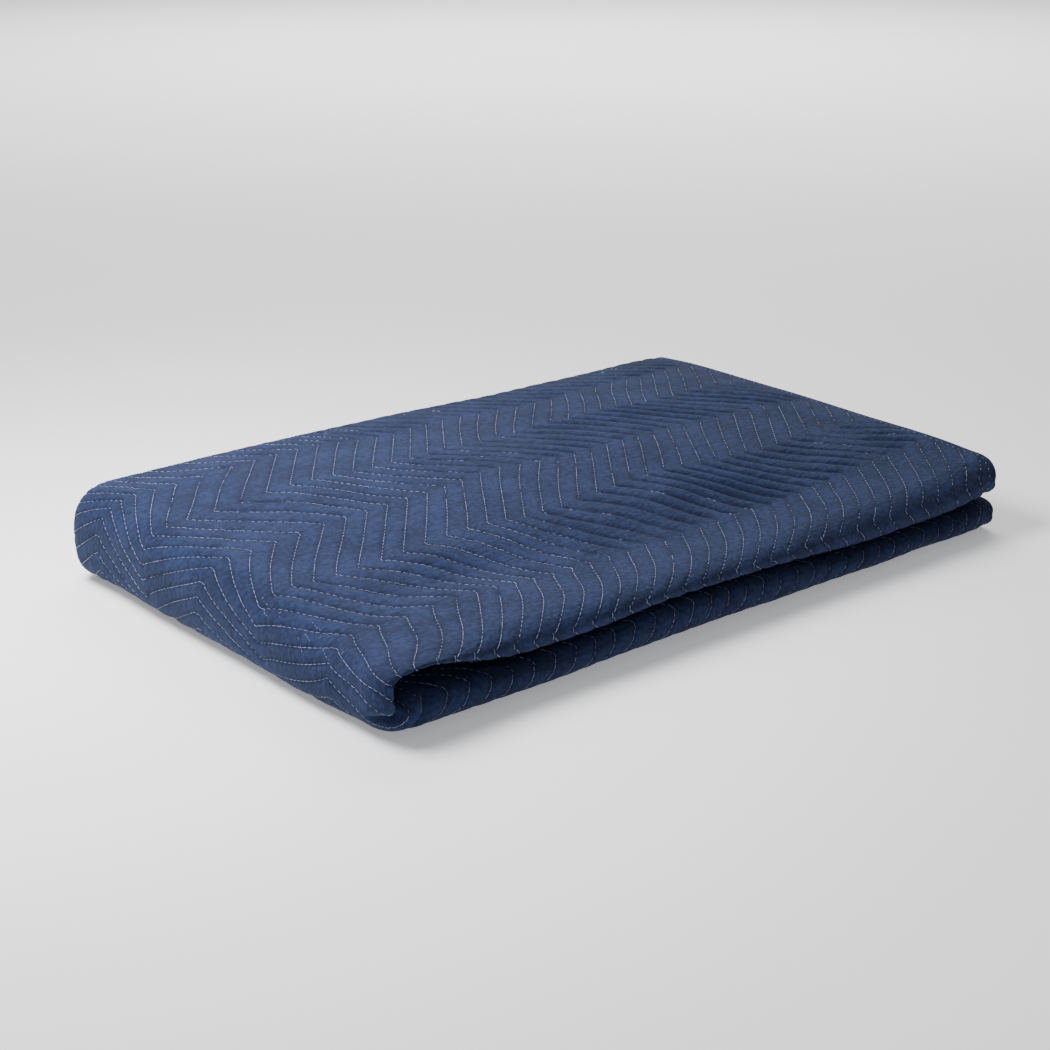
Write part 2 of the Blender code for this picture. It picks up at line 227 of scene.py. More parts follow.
# How far the corners are drawn in, seen from above
CORNER_REACH = 0.100
CORNER_WIDTH = 0.026
CORNERS_LEFT = (0.004, 0.013)
CORNERS_RIGHT = (0.009, 0.004)
print("travel along the strip in metres:", round(TRAVEL, 3))


# %% Heights of the top and of the slot
def top_height(from_left, from_front):
    """Height of the top above the surface, with the soft edge at the hemmed ends."""
    fronts = [row[0] for row in TOP_ROWS]
    heights = [curve_through(TOP_FROM_LEFT, row[1], from_left) for row in TOP_ROWS]
    into_round = np.clip((from_left - (LENGTH - END_ROUND)) / END_ROUND, 0.0, 1.0)
    drop = END_DROP * (1.0 - np.sqrt(1.0 - into_round ** 2))
    return curve_through(fronts, heights, from_front) - drop


def slot_middle(from_left, from_front):
    """Height of the middle of the slot, which settles to half the packet behind the front."""
    at_front = curve_through([row[0] for row in SLOT_ROWS], [row[1] for row in SLOT_ROWS], from_left)
    inside = SLOT_SHARE_INSIDE * top_height(np.minimum(from_left, LENGTH - END_ROUND), from_front)
    return at_front + (inside - at_front) * smooth_step(0.0, SLOT_SETTLE, from_front)


def slot_half(from_left, from_front):
    """Half the gap between the two runs: wide at the front, and widest at the left."""
    at_front = curve_through([row[0] for row in SLOT_ROWS], [row[2] for row in SLOT_ROWS], from_left)
    closing = 1.0 - smooth_step(0.0, SLOT_FADE, from_front)
    loop = LOOP_HALF * (1.0 - smooth_step(BEND, 2.0 * BEND, from_left))
    return np.maximum(SLOT_INNER_HALF + (at_front - SLOT_INNER_HALF) * closing, loop)


print("height at the crown:", round(float(top_height(np.array([0.43]), np.array([0.38]))[0]), 4))


# %% The place of any point of the strip
def squared_round(angle, power):
    """Cosine and sine of an angle, drawn out toward the corners of the box round the circle."""
    c = np.abs(np.cos(angle)) ** power
    s = np.sin(angle)
    return c, np.sign(s) * np.abs(s) ** power


def bend_table():
    """Angles round the bend, and the share of the bend's cloth that lies before each."""
    t = np.linspace(1.0, -1.0, BEND_SAMPLES)
    angles = math.pi / 2.0 * (t - np.sin(2.0 * math.pi * t) / (2.0 * math.pi))
    across, up = squared_round(angles, np.where(angles > 0.0, BEND_POWER_ABOVE, BEND_POWER_BELOW))
    steps = np.hypot(np.diff(BEND * across), np.diff(BEND_HALF_HEIGHT * up))
    lengths = np.concatenate([[0.0], np.cumsum(steps)])
    return angles, lengths / lengths[-1]


BEND_ANGLES, BEND_SHARES = bend_table()


def drawn_in(from_front, corners):
    """How far an end of the packet is drawn in near its front and its back corner."""
    front = np.clip(1.0 - from_front / CORNER_WIDTH, 0.0, 1.0)
    back = np.clip(1.0 - (WIDTH - from_front) / CORNER_WIDTH, 0.0, 1.0)
    at_front = corners[0] * (1.0 - np.sqrt(1.0 - front ** 2))
    at_back = corners[1] * (1.0 - np.sqrt(1.0 - back ** 2))
    return at_front + at_back


def place(travel, from_front, depth):
    """Points of the packet in the frame's metres, for flat arrays of the three numbers."""
    travel, from_front, depth = np.broadcast_arrays(travel, from_front, depth)
    near_front = 1.0 - smooth_step(0.0, CREASE_REACH, from_front)
    pushed = np.zeros(travel.shape)
    for slot_side, outer_side, half_width, push in CREASES:
        crease = slot_side + (outer_side - slot_side) * depth
        pushed = pushed + push * near_front * np.exp(-((travel - crease) / half_width) ** 2)
    angle = np.interp((travel - RUN) / BEND_SWEEP, BEND_SHARES, BEND_ANGLES)
    past_bend = np.maximum(travel - RUN - BEND_SWEEP, 0.0)
    from_left = BEND + np.maximum(RUN - travel, 0.0) + past_bend
    power = np.where(angle > 0.0, BEND_POWER_ABOVE, BEND_POWER_BELOW)
    across, up = squared_round(angle, power + (BEND_POWER_FRONT - power) * near_front)
    loop_power = LOOP_POWER + (LOOP_POWER_FRONT - LOOP_POWER) * near_front
    loop_across, loop_up = squared_round(angle, loop_power)
    middle = slot_middle(from_left, from_front)
    open_front = 1.0 - smooth_step(0.0, MOUTH_WIDTH, from_front)
    loop = LOOP_DEPTH + (MOUTH_DEPTH - LOOP_DEPTH) * open_front
    rise = np.where(up > 0.0, top_height(from_left, from_front) - middle, middle)
    inner_x = from_left - loop * loop_across
    inner_z = middle + slot_half(from_left, from_front) * loop_up
    outer_x = from_left - BEND * across
    outer_z = middle + rise * up
    x = inner_x + (outer_x - inner_x) * depth
    z = inner_z + (outer_z - inner_z) * depth
    x = x + drawn_in(from_front, CORNERS_LEFT) * (1.0 - smooth_step(0.0, CORNER_REACH, x))
    x = x - drawn_in(from_front, CORNERS_RIGHT) * smooth_step(LENGTH - CORNER_REACH, LENGTH, x)
    return np.stack([x - LENGTH / 2.0, from_front + pushed - WIDTH / 2.0, np.maximum(z, 0.0)], -1)


print("left end, middle of its face:", place(RUN + BEND_SWEEP / 2.0, WIDTH / 2.0, 1.0).round(4))

# %% [markdown]
# The section of the strip.
#
# Cut across, the cloth is a flat spiral: the outermost layer wraps round the front, a fold at
# the back joins the two top layers, and the hems lie at the back. The part of the section
# that shows is a smooth line from under the back fold over the top to just inside the slot.
# A place on that line is named by its distance along the cloth, counted so that on the top it
# is the distance from the front. The hidden layers need only a few points.

# %% Layers and folds of the section
LAYER_COUNT = 4
LAYER_GAP = 0.030
LAYER = (1.0 - (LAYER_COUNT - 1) * LAYER_GAP) / LAYER_COUNT
LAYER_STEP = LAYER + LAYER_GAP
STRIP_THICKNESS = 0.040
FRONT_REACH_TOP = 0.034
FRONT_REACH_SLOT = 0.022
FRONT_NOSE = 0.42
BACK_REACH = 0.018
LIP = 0.055
WRAP_INSIDE = 0.0125
WRAP_LOWER = 0.020
WRAP_UPPER = 0.022
WRAP_ROUNDING = 0.03
INNER_FOLD = 0.021
INNER_FOLD_MIDDLE = 0.47
INNER_FOLD_LOWER = 0.032
INNER_FOLD_UPPER = 0.034
INNER_ROUNDING = 0.02
INNER_LAYER_FRONT = 0.045
BACK_CREASE = 0.014
HEM_SETBACK = 0.012
HEM_STAGGER = 0.006
HEM_ROUND = 0.004
HIDDEN_FROM_FRONT = (0.110, 0.190, 0.300, 0.420)
FOLD_POINTS = 49


def shown_section():
    """Distance along the cloth, distance from the front and depth, from the slot to the back."""
    turn = np.linspace(-math.pi / 2.0, math.pi / 2.0, FOLD_POINTS)
    reach = np.where(turn > 0.0, FRONT_REACH_TOP, FRONT_REACH_SLOT)
    half = np.where(turn > 0.0, 1.0 - FRONT_NOSE, FRONT_NOSE)
    front = np.stack([reach * (1.0 - np.cos(turn)), FRONT_NOSE + half * np.sin(turn)], -1)
    back_half = LAYER + LAYER_GAP / 2.0
    back_across = WIDTH - BACK_REACH * (1.0 - np.cos(turn))
    back = np.stack([back_across, 1.0 - back_half + back_half * np.sin(turn)], -1)
    points = np.concatenate([[(LIP, 0.0)], front, back[::-1]])
    steps = np.hypot(np.diff(points[:, 0]), np.diff(points[:, 1]) * STRIP_THICKNESS)
    along = np.concatenate([[0.0], np.cumsum(steps)])
    return along - along[FOLD_POINTS] + FRONT_REACH_TOP, points[:, 0], points[:, 1]


SHOWN = shown_section()
SLOT_EDGE = SHOWN[0][0]
BACK_EDGE = SHOWN[0][-1]


def skin(along):
    """Distance from the front and depth of the part that shows, by distance along the cloth."""
    return np.interp(along, SHOWN[0], SHOWN[1]), np.interp(along, SHOWN[0], SHOWN[2])


def hidden_section():
    """The rest of the section, from the slot back round the inner layers to the back fold."""
    crossing = HIDDEN_FROM_FRONT
    returning = crossing[::-1]
    back_edge = WIDTH - HEM_SETBACK
    under = 1.0 - LAYER
    outer_hem = back_edge - HEM_STAGGER
    points = [(v, 0.0) for v in crossing]
    points += [(outer_hem, 0.0), (outer_hem + HEM_ROUND, LAYER / 2.0), (outer_hem, LAYER)]
    points += [(v, LAYER) for v in returning]
    points += [(LIP, LAYER), (WRAP_LOWER, LAYER + WRAP_ROUNDING), (WRAP_INSIDE, FRONT_NOSE)]
    points += [(WRAP_UPPER, under - WRAP_ROUNDING), (LIP, under)]
    points += [(v, under) for v in crossing]
    points += [(WIDTH - BACK_CREASE, 1.0 - LAYER - LAYER_GAP / 2.0)]
    points += [(v, under - LAYER_GAP) for v in returning]
    points += [(LIP, under - LAYER_GAP), (INNER_FOLD_UPPER, under - LAYER_GAP - INNER_ROUNDING)]
    points += [(INNER_FOLD, INNER_FOLD_MIDDLE), (INNER_FOLD_LOWER, LAYER_STEP + INNER_ROUNDING)]
    points += [(LIP, LAYER_STEP)]
    points += [(v, LAYER_STEP) for v in crossing]
    points += [(back_edge, LAYER_STEP), (back_edge + HEM_ROUND, LAYER_STEP + LAYER / 2.0)]
    points += [(back_edge, LAYER_STEP + LAYER)]
    points += [(v, LAYER_STEP + LAYER) for v in returning]
    points += [(INNER_LAYER_FRONT, LAYER_STEP + LAYER + LAYER_GAP / 2.0)]
    points += [(v, 2.0 * LAYER_STEP) for v in crossing]
    return np.array(points)


print("cloth that shows across the strip, in metres:", round(BACK_EDGE - SLOT_EDGE, 3))

# %% [markdown]
# The quilting.
#
# Parallel seams cross the blanket in a zig-zag, an inch apart. A seam pulls the two covers
# together and the filling puffs up between, so each channel is a soft arch with a sharp
# crease at both sides. The thread also gathers the cloth: short puckers run across each
# channel from its seams. All of this is one number for each point of the cloth, how far it
# lies above or below the plain fold, and the mesh is moved by it along its own normal.
#
# The pattern was ruled on flat cloth, and folding has since pulled it about. Two tables say
# by how much: one moves the corners of the zig-zag toward the front, the other lets the
# seams run ahead along the strip or lag. Every second leg of the zig-zag leans to the left
# toward the back. On the right half of the top the cloth is slack there, so those channels
# stand high with the thread sunk between them, while the legs between stay almost flat.

# %% Seams and relief
SEAM_PITCH = 0.0254
SPARE_PASSES = 6
SPARE_STEP = 0.001
SPARE_SLOPE_LEAST = 0.45

# Hills and hollows of the top
HOLLOWS = (
    # travel, row, half its length, half its width, rise
    (0.660, 0.128, 0.100, 0.026, -0.0060),
    (0.690, 0.172, 0.090, 0.018, 0.0015),
    (0.380, 0.150, 0.120, 0.028, 0.0042),
    (0.150, 0.120, 0.060, 0.030, 0.0015),
)

# Drift in millimetres: how far the rows of the zig-zag's corners lie nearer the front than
# ruled, which is most at the front of the lower run.
DRIFT_FADE = 0.060
DRIFT_AT = (
    0.06, 0.14, 0.20, 0.27, 0.35, 0.43, 0.50, 0.60, 0.70, 0.775, 0.83, 0.865, 0.905, 0.974, 1.06,
)
DRIFT_ROWS = (
    # row across the ruled pattern, drift at the travels above
    (-0.002, (0, 0, 0, 0, 1, 4, 6, 8, 8, 8, 8, 9, 13, 24, 28)),
    (0.0945, (-7, -5, 3, 6, 1, 3, 6, 9, 0, 8, 8, 12, 13, 13, 13)),
    (0.191, (8, 7, 13, 9, -3, -1, 8, -2, 0, 1, -3, -3, 5, 8, 8)),
    (0.2875, (15, 11, 8, 6, 9, 9, -3, 4, 2, 9, 9, 0, -9, -9, -9)),
    (0.384, (13, 13, 13, 8, 6, 9, 11, 9, 3, 8, 3, -9, -10, -10, -10)),
    (0.4805, (8, 14, 13, 20, 13, 7, 15, -1, 6, 11, 5, -2, -8, -8, -8)),
)

# Spare cloth in millimetres: how far the ruled pattern runs ahead of the travel, as the
# packet was smoothed by hand. Below zero the channels lie wider, and they close up again
# where the value climbs round the bend.
SPARE_AT = (0.06, 0.14, 0.22, 0.30, 0.40, 0.50, 0.60, 0.70, 0.775, 0.83, 0.865, 0.905, 0.974)
SPARE_ROWS = (
    # row across the ruled pattern, spare at the travels above
    (-0.002, (-10, -11, -17, -21, -21, -20, -12, -3, 5, 12, 14, 18, 20)),
    (0.046, (-2, -2, -6, -5, -4, -5, 0, 7, 9, 0, 2, 10, 16)),
    (0.0945, (-3, -4, -11, -5, -5, -9, -8, 7, -6, -14, -6, 3, 14)),
    (0.191, (-14, -17, -20, -11, -4, -11, 0, -4, -9, -4, 9, 30, 45)),
    (0.2875, (-23, -16, -18, -14, -11, -5, -6, -4, -15, -19, -2, 21, 42)),
    (0.384, (-22, -21, -12, -6, -13, -12, -6, -6, -22, -27, -6, 23, 46)),
    (0.4805, (-15, -6, -9, -9, -12, -11, -2, -16, -36, -26, 6, 24, 42)),
)
ZIG_SHIFT = 0.0762
ZIG_HALF_PERIOD = 0.0965
ZIG_FIRST_ROW = 0.0945
SEAM_SLANT = math.hypot(ZIG_SHIFT, ZIG_HALF_PERIOD) / ZIG_HALF_PERIOD
PLAIN_RISE = 0.0010
LEANING_RISE_LEFT = 0.0015
LEANING_RISE_RIGHT = 0.0033
RISE_FROM = 0.20
RISE_TO = 0.62
UNEVEN_SHARE = 0.42
UNEVEN_LENGTH = 0.050
LEG_BLEND = 0.10
LIP_ROW = 0.020
LIP_BLEND = 0.050
BACK_ROW = 0.490
BACK_BLEND = 0.045
BACK_SMOOTHED = 0.65
CHANNEL_ARCH = 2.2
PUCKER_RISE = 0.00055
PUCKER_LENGTH = 0.0085
PUCKER_SPREAD = 1.5
PUCKER_FADE = 0.7
PUCKER_SKIP = (5.3, 3.1)
CHANNEL_SKIP = 0.7
SWELL_RISE = 0.0011
SWELL_LENGTH = 0.075
WANDER = 0.0013
WANDER_LENGTH = 0.060
HEM_WIDTH = 0.014
HEM_FLAT_TO = 0.6
HEM_QUILTED_FROM = 1.6
HEM_SINK = 0.0014
EDGE_FADE = 0.022
NORMAL_STEP = 0.0015
SWELL_SEED = 3
UNEVEN_SEED = 5
CHANNEL_SEED = 6
PUCKER_SEED = 7
WANDER_SEED = 11


def zig(row):
    """Sideways shift of every seam, by its place across the ruled pattern."""
    phase = (row - ZIG_FIRST_ROW) / ZIG_HALF_PERIOD
    return (np.abs((phase + 1.0) % 2.0 - 1.0) - 0.5) * ZIG_SHIFT


def leaning_leg(row):
    """1 on the legs that lean to the left toward the back, 0 on the others, soft between."""
    phase = (row - ZIG_FIRST_ROW) / ZIG_HALF_PERIOD
    to_middle = np.abs((phase + 0.5) % 2.0 - 1.0)
    leaning = 1.0 - smooth_step(0.5 - LEG_BLEND, 0.5 + LEG_BLEND, to_middle)
    return leaning * smooth_step(LIP_ROW, LIP_ROW + LIP_BLEND, row)


def wander(travel, row):
    """How far a seam strays from its ruled line, as sewn cloth does once it is folded."""
    return WANDER * soft_noise(travel / WANDER_LENGTH, row / WANDER_LENGTH, WANDER_SEED)


def along_at(travel, row):
    """Distance along the cloth at which a place of the ruled pattern comes to lie."""
    rows = [curve_through(DRIFT_AT, drift_row[1], travel) for drift_row in DRIFT_ROWS]
    drift = 0.001 * curve_through([drift_row[0] for drift_row in DRIFT_ROWS], rows, row)
    fade = smooth_step(SLOT_EDGE, SLOT_EDGE + DRIFT_FADE, row)
    fade = fade * (1.0 - smooth_step(BACK_EDGE - DRIFT_FADE, BACK_EDGE, row))
    return row - drift * fade


def spare(travel, row):
    """How far the ruled pattern runs ahead of the travel, in metres."""
    rows = [curve_through(SPARE_AT, spare_row[1], travel) for spare_row in SPARE_ROWS]
    return 0.001 * curve_through([spare_row[0] for spare_row in SPARE_ROWS], rows, row)


def travel_at(cloth, row):
    """Travel at which a place of the ruled pattern comes to lie."""
    travel = cloth - spare(cloth, row)
    for _ in range(SPARE_PASSES):
        now = spare(travel, row)
        slope = 1.0 + (spare(travel + SPARE_STEP, row) - now) / SPARE_STEP
        travel = travel - (travel + now - cloth) / np.maximum(slope, SPARE_SLOPE_LEAST)
    return travel


def seam_number(travel, row):
    """Counts the seams along the strip: a whole number on a seam, a half between two."""
    return (travel + spare(travel, row) - zig(row) - wander(travel, row)) / SEAM_PITCH - 0.5


def hollows(travel, row):
    """The soft hills and hollows of the top, where the layers below lie unevenly."""
    height = np.zeros(np.broadcast(travel, row).shape)
    for at_travel, at_row, half_length, half_width, rise in HOLLOWS:
        away = ((travel - at_travel) / half_length) ** 2 + ((row - at_row) / half_width) ** 2
        height = height + rise * np.exp(-away)
    return height


def relief(travel, row):
    """How far the quilted cover lies above the plain fold, in metres."""
    number = seam_number(travel, row)
    to_seam = np.abs(number - np.round(number)) * 2.0
    channel = np.floor(number)
    to_right = 1.0 - smooth_step(RISE_FROM, RISE_TO, travel)
    leaning = LEANING_RISE_LEFT + (LEANING_RISE_RIGHT - LEANING_RISE_LEFT) * to_right
    rise = PLAIN_RISE + (leaning - PLAIN_RISE) * leaning_leg(row)
    uneven = soft_noise(travel / UNEVEN_LENGTH, row / UNEVEN_LENGTH, UNEVEN_SEED)
    uneven = uneven + soft_noise(CHANNEL_SKIP * channel, row / SWELL_LENGTH, CHANNEL_SEED)
    rise = rise * (1.0 + UNEVEN_SHARE * uneven)
    rise = rise * (1.0 - BACK_SMOOTHED * smooth_step(BACK_ROW, BACK_ROW + BACK_BLEND, row))
    arch = rise / (CHANNEL_ARCH + 1.0) - rise * (1.0 - to_seam) ** CHANNEL_ARCH
    seam_run = row * SEAM_SLANT / PUCKER_LENGTH
    run_skip, side_skip = PUCKER_SKIP
    gather_side = to_seam * PUCKER_SPREAD + channel * side_skip
    gather = soft_noise(seam_run + run_skip * channel, gather_side, PUCKER_SEED)
    pucker = PUCKER_RISE * gather * (1.0 - PUCKER_FADE * to_seam)
    swell = SWELL_RISE * soft_noise(travel / SWELL_LENGTH, row / SWELL_LENGTH, SWELL_SEED)
    end = np.minimum(travel, TRAVEL - travel)
    quilted = smooth_step(HEM_FLAT_TO * HEM_WIDTH, HEM_QUILTED_FROM * HEM_WIDTH, end)
    sunk = HEM_SINK * (1.0 - smooth_step(0.0, HEM_WIDTH, np.abs(end - HEM_WIDTH)))
    flat = (arch + pucker + swell + hollows(travel, row)) * quilted - sunk
    edge = smooth_step(SLOT_EDGE, SLOT_EDGE + EDGE_FADE, row)
    edge = edge * (1.0 - smooth_step(BACK_EDGE - EDGE_FADE, BACK_EDGE, row))
    return flat * edge


def skin_place(travel, along):
    """Place on the plain fold of a point of the cloth that shows."""
    from_front, depth = skin(along)
    return place(travel, from_front, depth)


def skin_normal(travel, along):
    """Outward direction of the plain fold at a point of the cloth that shows."""
    ahead = skin_place(np.minimum(travel + NORMAL_STEP, TRAVEL), along)
    behind = skin_place(np.maximum(travel - NORMAL_STEP, 0.0), along)
    back = skin_place(travel, np.minimum(along + NORMAL_STEP, BACK_EDGE))
    front = skin_place(travel, np.maximum(along - NORMAL_STEP, SLOT_EDGE))
    normal = np.cross(back - front, ahead - behind)
    return normal / np.linalg.norm(normal, axis=-1, keepdims=True)


def cover_place(travel, row, lift=0.0):
    """Place and outward direction of a point of the quilted cover, lifted off it if asked."""
    along = along_at(travel, row)
    normal = skin_normal(travel, along)
    point = skin_place(travel, along) + normal * (relief(travel, row) + lift)[..., None]
    point[..., 2] = np.maximum(point[..., 2], 0.0)
    return point, normal


print("seams along the strip:", int(TRAVEL / SEAM_PITCH))

# %% [markdown]
# The cover as one closed mesh.
#
# The cloth that shows gets a fine grid whose lines run along the seams, so that each crease
# is a true edge of the mesh. The layers inside get few lines, and so does the underside. Near
# the hemmed ends every layer thins to a soft rolled edge. The blanket is one cloth, so all of
# it is one closed mesh.

# %% Grid of the cover
LINES_PER_LEG = 32
SEAM_STEPS_FINE = (0.0, 0.07, 0.18, 0.34, 0.50, 0.66, 0.82, 0.93)
SEAM_STEPS_FLOOR = (0.0, 0.10, 0.28, 0.50, 0.72, 0.90)
HEM_STATIONS = (0.0, 0.0008, 0.0025, 0.0060)
HEM_INSETS = (0.0034, 0.0020, 0.0009, 0.0)
EDGE_LINE_SHARE = 0.3
GRID_FADE = 0.080
GRID_START = 0.010
FLOOR_MARGIN = 0.120
UNDERSIDE_EVERY = 8
UNDERSIDE_FROM = 0.050
UNDERSIDE_TO = 0.510
HIDDEN_FROM_LEFT = (0.840, 0.780, 0.690, 0.610, 0.520, 0.440, 0.350, 0.260, 0.170, 0.130, 0.090)
BEND_STATIONS = 16


def line_places():
    """Distances along the cloth of the grid's lines, with a line on every corner of the zig-zag."""
    step = ZIG_HALF_PERIOD / LINES_PER_LEG
    first = math.ceil((SLOT_EDGE - ZIG_FIRST_ROW) / step + EDGE_LINE_SHARE)
    last = math.floor((BACK_EDGE - ZIG_FIRST_ROW) / step - EDGE_LINE_SHARE)
    inner = ZIG_FIRST_ROW + step * np.arange(first, last + 1)
    return np.concatenate([[SLOT_EDGE], inner, [BACK_EDGE]])


def travel_stations():
    """Travel of the grid's columns: hem, then a few for each channel, then the other hem."""
    count = int(TRAVEL / SEAM_PITCH) + 1
    stations = []
    for seam in range(-1, count):
        base = (seam + 0.5) * SEAM_PITCH
        on_floor = base >= RUN + BEND_SWEEP + FLOOR_MARGIN
        steps = SEAM_STEPS_FLOOR if on_floor else SEAM_STEPS_FINE
        stations += [base + share * SEAM_PITCH for share in steps]
    inside = [t for t in stations if GRID_START < t < TRAVEL - GRID_START]
    ends = [TRAVEL - t for t in reversed(HEM_STATIONS)]
    return np.array(list(HEM_STATIONS) + inside + ends)


def hidden_stations():
    """Travel of the columns of the hidden layers: few along the runs, more round the bend."""
    upper = [LENGTH - left for left in HIDDEN_FROM_LEFT]
    bend = list(np.linspace(RUN, RUN + BEND_SWEEP, BEND_STATIONS))
    lower = [TRAVEL - travel for travel in reversed(upper)]
    ends = [TRAVEL - t for t in reversed(HEM_STATIONS)]
    return np.array(list(HEM_STATIONS) + upper + bend + lower + ends)


ALONG = line_places()
STATIONS = travel_stations()
HIDDEN_STATIONS = hidden_stations()
print("grid of", len(ALONG), "lines by", len(STATIONS), "columns")


# %% Points of the cover and of the hidden layers
def grid_travel():
    """Travel of each grid point: the columns follow the zig-zag, and straighten at the edges."""
    travel, along = np.meshgrid(STATIONS, ALONG)
    end = np.minimum(travel, TRAVEL - travel)
    follow = smooth_step(HEM_STATIONS[-1], GRID_FADE, end)
    follow = follow * smooth_step(SLOT_EDGE, SLOT_EDGE + EDGE_FADE, along)
    follow = follow * (1.0 - smooth_step(BACK_EDGE - EDGE_FADE, BACK_EDGE, along))
    sewn = travel_at((travel + zig(along)).ravel(), along.ravel()).reshape(travel.shape)
    return travel + (sewn - travel) * follow, along


def rolled_hems(shown, hidden):
    """Draws every layer in toward its own middle at the two hemmed ends."""
    for side in (0, -1):
        for k, inset in enumerate(HEM_INSETS):
            column = k if side == 0 else -1 - k
            loop = np.concatenate([shown[::-1, column], hidden[:, column]])
            around = np.roll(loop, -1, axis=0) - np.roll(loop, 1, axis=0)
            outward = np.cross(around, (1.0, 0.0, 0.0))
            outward[:, 0] = 0.0
            outward /= np.maximum(np.linalg.norm(outward, axis=1, keepdims=True), 1e-9)
            if side == -1:
                outward = -outward
            loop = loop - outward * inset
            shown[::-1, column] = loop[:len(shown)]
            hidden[:, column] = loop[len(shown):]
    return shown, hidden


travel_grid, along_grid = grid_travel()
cover_points, _ = cover_place(travel_grid.ravel(), along_grid.ravel())
cover_points = cover_points.reshape(travel_grid.shape + (3,))
section = hidden_section()
hidden_travel, hidden_row = np.meshgrid(HIDDEN_STATIONS, np.arange(len(section)))
hidden_front, hidden_depth = section[hidden_row.ravel()].T
hidden_points = place(hidden_travel.ravel(), hidden_front, hidden_depth)
hidden_points = hidden_points.reshape(hidden_travel.shape + (3,))
cover_heights = cover_points[..., 2]
print("lowest and highest point of the cover:", cover_heights.min().round(4), cover_heights.max().round(4))


# %% [markdown]
# Joining the grids.
#
# The fine grid, the coarse underside and the hidden layers meet along shared lines. Where
# neighbours have the same columns, the faces are plain quads. Where they differ, a strip of
# triangles walks along both lines and always steps on the side that lags.

# %% Faces of the closed mesh
def quads(first, second):
    """Quads between two lines with the same number of points."""
    return [(a, b, d, c) for a, b, c, d in zip(first, first[1:], second, second[1:])]


def walking_strip(first, first_at, second, second_at):
    """Triangles between two lines whose points lie at different places."""
    faces = []
    i = 0
    j = 0
    while i < len(first) - 1 or j < len(second) - 1:
        next_first = first_at[i + 1] if i < len(first) - 1 else math.inf
        next_second = second_at[j + 1] if j < len(second) - 1 else math.inf
        if next_first <= next_second:
            faces.append((first[i], first[i + 1], second[j]))
            i += 1
        else:
            faces.append((first[i], second[j + 1], second[j]))
            j += 1
    return faces


def sparse_lines():
    """The lines that the grid keeps on the floor: all at the front and back, few below."""
    kept = []
    for k, along in enumerate(ALONG):
        if along < UNDERSIDE_FROM or along > UNDERSIDE_TO or k % UNDERSIDE_EVERY == 0:
            kept.append(k)
    return kept


def cover_faces(shown_ids, hidden_ids):
    """Every face of the cover, with the underside made sparse past the fold across."""
    floor = int(np.searchsorted(STATIONS, RUN + BEND_SWEEP + FLOOR_MARGIN))
    kept = sparse_lines()
    faces = []
    for first, second in zip(shown_ids, shown_ids[1:]):
        faces += quads(list(first[:floor + 1]), list(second[:floor + 1]))
    for a, b in zip(kept, kept[1:]):
        between = [shown_ids[k, floor] for k in range(a, b + 1)]
        faces.append(tuple(between) + (shown_ids[b, floor + 1], shown_ids[a, floor + 1]))
        faces += quads(list(shown_ids[a, floor + 1:]), list(shown_ids[b, floor + 1:]))
    for first, second in zip(hidden_ids, hidden_ids[1:]):
        faces += quads(list(second), list(first))
    slot_line = shown_ids[0]
    back_line = shown_ids[-1]
    faces += walking_strip(list(hidden_ids[0]), HIDDEN_STATIONS, list(slot_line), STATIONS)
    faces += walking_strip(list(back_line), STATIONS, list(hidden_ids[-1]), HIDDEN_STATIONS)
    ring = list(shown_ids[::-1, 0]) + list(hidden_ids[:, 0])
    faces.append(tuple(ring))
    far_ring = [shown_ids[k, -1] for k in reversed(kept)] + list(hidden_ids[:, -1])
    faces.append(tuple(reversed(far_ring)))
    return faces


shown_points, hidden_points = rolled_hems(cover_points, hidden_points)
shown_count = shown_points.shape[0] * shown_points.shape[1]
shown_ids = np.arange(shown_count).reshape(shown_points.shape[:2])
hidden_ids = shown_count + np.arange(hidden_points.shape[0] * hidden_points.shape[1])
hidden_ids = hidden_ids.reshape(hidden_points.shape[:2])
faces = cover_faces(shown_ids, hidden_ids)
print("faces of the cover:", len(faces))


# %% The blanket's mesh
def mesh_object(name, points, faces, edges=()):
    """A mesh object at the origin, with its place in its points."""
    mesh = bpy.data.meshes.new(name)
    mesh.from_pydata([tuple(p) for p in points], list(edges), faces)
    mesh.update()
    piece = bpy.data.objects.new(name, mesh)
    bpy.context.scene.collection.objects.link(piece)
    return piece


def add_seam_map(piece, run_values, number_values):
    """A UV map that follows the seams: metres along a seam, and the number of the seam."""
    layer = piece.data.uv_layers.new(name="seams")
    corners = np.empty(len(piece.data.loops), dtype=np.int32)
    piece.data.loops.foreach_get("vertex_index", corners)
    values = np.stack([run_values[corners], number_values[corners]], -1)
    layer.data.foreach_set("uv", values.astype(np.float32).ravel())


def drop_unused_points(piece):
    """Removes the grid points that the sparse underside left without faces."""
    bm = bmesh.new()
    bm.from_mesh(piece.data)
    loose = [v for v in bm.verts if not v.link_faces]
    bmesh.ops.delete(bm, geom=loose, context="VERTS")
    bmesh.ops.recalc_face_normals(bm, faces=bm.faces)
    open_edges = sum(1 for e in bm.edges if len(e.link_faces) != 2)
    triangles = sum(len(f.verts) - 2 for f in bm.faces)
    volume = bm.calc_volume()
    bm.to_mesh(piece.data)
    bm.free()
    print("open edges:", open_edges, "triangles:", triangles, "litres:", round(volume * 1000.0, 2))


